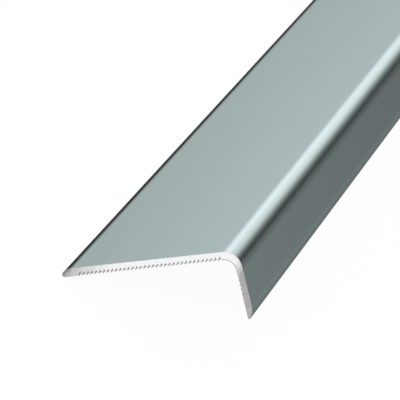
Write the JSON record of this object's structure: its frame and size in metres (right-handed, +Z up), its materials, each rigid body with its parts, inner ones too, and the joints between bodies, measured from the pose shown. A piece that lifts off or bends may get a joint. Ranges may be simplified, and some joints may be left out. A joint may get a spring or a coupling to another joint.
{
  "type": "metal angle section",
  "caption": "Unequal aluminium angle for a stair edge, with a wide serrated tread leg, a short riser leg and a rounded bend.",
  "frame": {"origin": "centre of the base of the part's box: on the floor between the two resting tips, at mid-length", "axes": "+X across the section from the tread leg's tip to the riser leg, +Y along the length, +Z up from the resting tips to the bend"},
  "size_m": [0.045, 0.9, 0.015],
  "materials": {
    "anodised_aluminium": "satin grey anodised faces with fine lines along the extrusion, and bare saw-cut ends"
  },
  "bodies": {
    "root": {"angle_section": "anodised_aluminium"}
  },
  "joints": []
}
